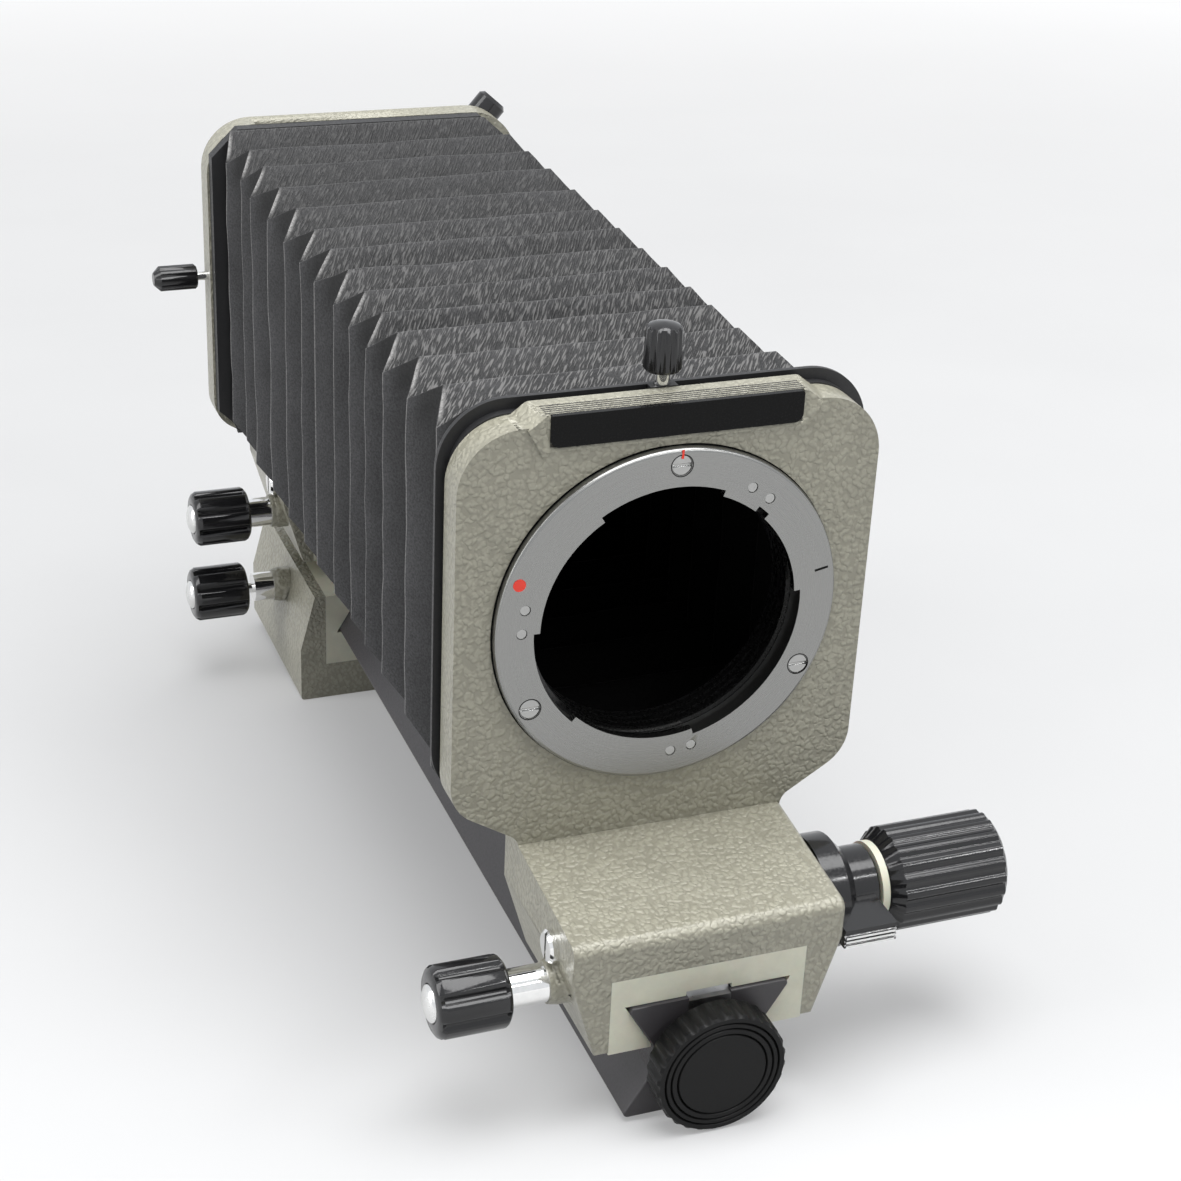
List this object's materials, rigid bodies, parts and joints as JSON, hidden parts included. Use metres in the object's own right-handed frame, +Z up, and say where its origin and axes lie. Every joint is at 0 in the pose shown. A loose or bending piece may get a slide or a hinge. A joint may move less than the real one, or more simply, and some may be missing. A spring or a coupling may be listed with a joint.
{
  "type": "macro bellows unit",
  "caption": "Macro bellows: lens and camera standards slide on a rack rail in a tripod block, joined by pleated bellows.",
  "frame": {"origin": "mouth of the tripod socket, in the middle of the block's underside", "axes": "+Y along the rail from the lens side to the camera side, +Z up, +X to the side of the big drive knobs"},
  "size_m": [0.1124, 0.2513, 0.1476],
  "materials": {
    "hammertone_paint": "fine hammertone lacquer, grey-green",
    "cream_nylon": "matt cream",
    "black_anodised": "satin black",
    "steel": "turned and plated",
    "chromed_brass": "satin chrome",
    "satin_metal": "satin",
    "black_plastic": "satin black",
    "brass": "turned",
    "red_enamel": "glossy red",
    "pleated_leather": "grained, black"
  },
  "bodies": {
    "tripod_block": {"tripod_block": "hammertone_paint", "block_guide": "cream_nylon", "tripod_bushing": "brass", "block_lock_shoe": "brass", "block_drive_bearing": "black_anodised"},
    "rail": {"rail": "black_anodised", "top_rack": "steel", "bottom_rack": "steel", "rail_rear_stop": "black_anodised"},
    "rail_end": {"rail_end_knob": "black_anodised", "rail_end_screw": "steel"},
    "front_standard": {"front_standard": "hammertone_paint", "front_guide": "cream_nylon", "lens_mount_ring": "chromed_brass", "lens_ring_screws": "steel", "mount_index_dot": "red_enamel", "bayonet_springs": "steel", "name_plate": "black_anodised", "light_baffle": "black_anodised", "front_bellows_frame": "black_anodised", "bellows_front_half": "pleated_leather", "front_guide_screw": "steel", "front_lock_shoe": "brass", "front_drive_bearing": "black_anodised"},
    "rear_standard": {"rear_standard": "hammertone_paint", "rear_guide": "cream_nylon", "rear_bellows_frame": "black_anodised", "bellows_rear_half": "pleated_leather", "rear_guide_screw": "steel", "rear_lock_shoe": "brass", "rear_drive_bearing": "black_anodised"},
    "front_lock": {"front_lock_screw": "steel", "front_lock_knob": "black_plastic", "front_lock_cap": "satin_metal"},
    "rear_lock": {"rear_lock_screw": "steel", "rear_lock_knob": "black_plastic", "rear_lock_cap": "satin_metal"},
    "block_lock": {"block_lock_screw": "steel", "block_lock_knob": "black_plastic", "block_lock_cap": "satin_metal"},
    "front_drive": {"front_drive_pinion": "steel", "front_drive_washer": "cream_nylon", "front_drive_knob": "black_plastic"},
    "rear_drive": {"rear_drive_pinion": "steel", "rear_drive_washer": "cream_nylon", "rear_drive_knob": "black_plastic"},
    "block_drive": {"block_drive_pinion": "steel", "block_drive_washer": "cream_nylon", "block_drive_knob": "black_plastic"},
    "front_lever": {"front_release_lever": "black_anodised"},
    "rear_lever": {"rear_release_lever": "black_anodised"},
    "frame_lock": {"frame_lock_stem": "steel", "frame_lock_knob": "black_plastic"},
    "camera_mount": {"rotating_mount_ring": "black_anodised", "rotating_mount_sleeve": "black_anodised", "camera_bayonet": "chromed_brass", "camera_mount_screws": "steel"},
    "camera_release": {"camera_release_button": "satin_metal"},
    "mount_lock": {"mount_lock_stem": "steel", "mount_lock_knob": "black_plastic"}
  },
  "joints": [
    {"name": "rail_slide", "type": "slide", "parent": "tripod_block", "child": "rail", "axis": [0, 1, 0], "range_m": [-0.005, 0.17]},
    {"name": "front_slide", "type": "slide", "parent": "rail", "child": "front_standard", "axis": [0, 1, 0], "range_m": [0, 0.0733], "deforming": ["bellows_front_half"]},
    {"name": "rear_slide", "type": "slide", "parent": "rail", "child": "rear_standard", "axis": [0, -1, 0], "range_m": [0, 0.0733], "deforming": ["bellows_rear_half"]},
    {"name": "block_lock_turn", "type": "hinge", "parent": "tripod_block", "child": "block_lock", "pos_m": [-0.04, -0.0023, 0.0204], "axis": [-1, 0, 0], "range_deg": [0, 90]},
    {"name": "front_lock_turn", "type": "hinge", "parent": "front_standard", "child": "front_lock", "pos_m": [-0.04, -0.1994, 0.0414], "axis": [-1, 0, 0], "range_deg": [0, 90]},
    {"name": "rear_lock_turn", "type": "hinge", "parent": "rear_standard", "child": "rear_lock", "pos_m": [-0.04, -0.0049, 0.0414], "axis": [-1, 0, 0], "range_deg": [0, 90]},
    {"name": "block_drive_turn", "type": "hinge", "parent": "tripod_block", "child": "block_drive", "pos_m": [0.05, 0.009, 0.01268], "axis": [1, 0, 0], "range_deg": [-2325, 75]},
    {"name": "front_drive_turn", "type": "hinge", "parent": "front_standard", "child": "front_drive", "pos_m": [0.05, -0.1923, 0.04462], "axis": [1, 0, 0], "range_deg": [-1005, 5]},
    {"name": "rear_drive_turn", "type": "hinge", "parent": "rear_standard", "child": "rear_drive", "pos_m": [0.05, 0.0033, 0.04462], "axis": [1, 0, 0], "range_deg": [-5, 1005]},
    {"name": "front_lever_turn", "type": "hinge", "parent": "front_standard", "child": "front_lever", "pos_m": [0.03, -0.1923, 0.04462], "axis": [1, 0, 0], "range_deg": [0, 20]},
    {"name": "rear_lever_turn", "type": "hinge", "parent": "rear_standard", "child": "rear_lever", "pos_m": [0.03, 0.0033, 0.04462], "axis": [1, 0, 0], "range_deg": [0, 20]},
    {"name": "frame_lock_turn", "type": "hinge", "parent": "front_standard", "child": "frame_lock", "pos_m": [0, -0.1725, 0.14], "axis": [0, 0, 1], "range_deg": [0, 90]},
    {"name": "rail_end_turn", "type": "hinge", "parent": "rail", "child": "rail_end", "pos_m": [0, -0.21, 0.02865], "axis": [0, -1, 0], "range_deg": [0, 90]},
    {"name": "mount_rotation", "type": "hinge", "parent": "rear_standard", "child": "camera_mount", "pos_m": [0, 0.0026, 0.09835], "axis": [0, 1, 0], "range_deg": [-90, 0]},
    {"name": "release_press", "type": "slide", "parent": "camera_mount", "child": "camera_release", "axis": [-0.6561, 0, -0.7547], "range_m": [0, 0.0015], "stiffness_N_per_m": 400},
    {"name": "mount_lock_turn", "type": "hinge", "parent": "rear_standard", "child": "mount_lock", "pos_m": [-0.045, -0.00065, 0.09935], "axis": [-1, 0, 0], "range_deg": [0, 90]}
  ],
  "couplings": [
    {"joint": "block_drive_turn", "follows": "rail_slide", "rad_per_m": -238.1},
    {"joint": "front_drive_turn", "follows": "front_slide", "rad_per_m": -238.1},
    {"joint": "rear_drive_turn", "follows": "rear_slide", "rad_per_m": 238.1}
  ]
}
